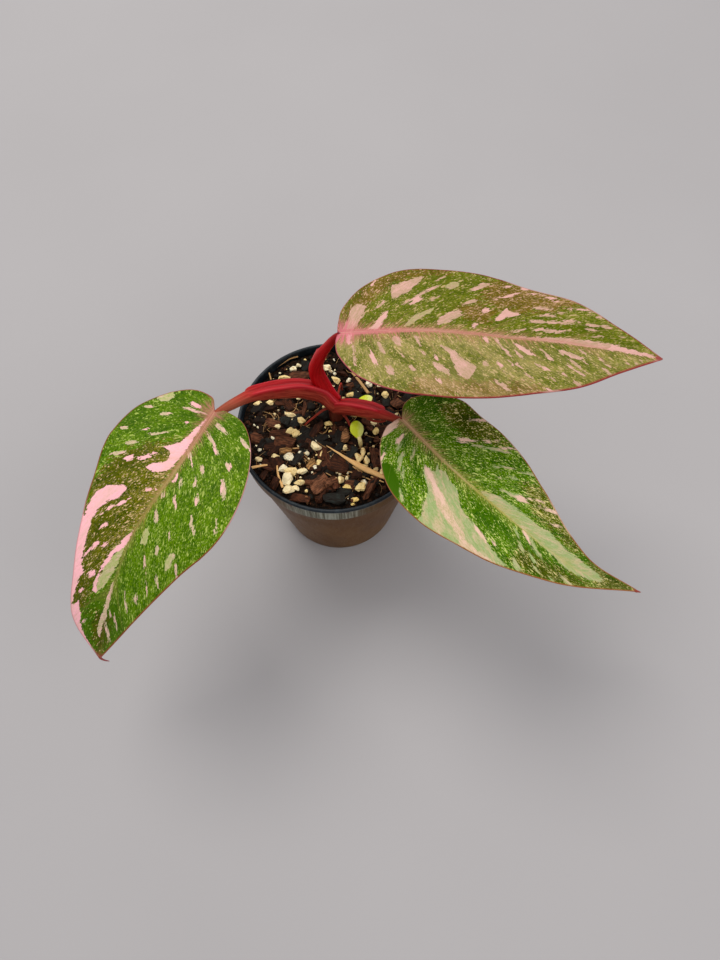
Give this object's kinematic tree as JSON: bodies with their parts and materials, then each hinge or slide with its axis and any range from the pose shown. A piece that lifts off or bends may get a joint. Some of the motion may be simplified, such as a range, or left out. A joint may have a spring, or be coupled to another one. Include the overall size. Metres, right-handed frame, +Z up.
{
  "type": "potted pink princess philodendron",
  "caption": "Young aroid house plant with heart-shaped pink and green variegated leaves on red sheathed petioles, in a small round black nursery pot.",
  "frame": {"origin": "centre of the pot's flat base, on the surface it stands on", "axes": "+Z up; +X towards the tip of the highest leaf; +Y towards the side away from the viewer"},
  "size_m": [0.1979, 0.1254, 0.1225],
  "materials": {
    "pot": "thin glossy black moulded plastic",
    "soil": "chunky bark, coir and perlite potting mix",
    "stalk": "smooth fleshy crimson stalk with a soft sheen",
    "leaf": "satin leaf, green marbled with pink, mint and olive",
    "sprout": "smooth lime-green young leaf"
  },
  "bodies": {
    "root": {"pot": "pot", "soil": "soil", "stem": "stalk", "petiole_left": "stalk", "petiole_back": "stalk", "petiole_right": "stalk", "leaf_left": "leaf", "leaf_back": "leaf", "leaf_right": "leaf", "sprout_front": "sprout", "sprout_back": "sprout"}
  },
  "joints": []
}
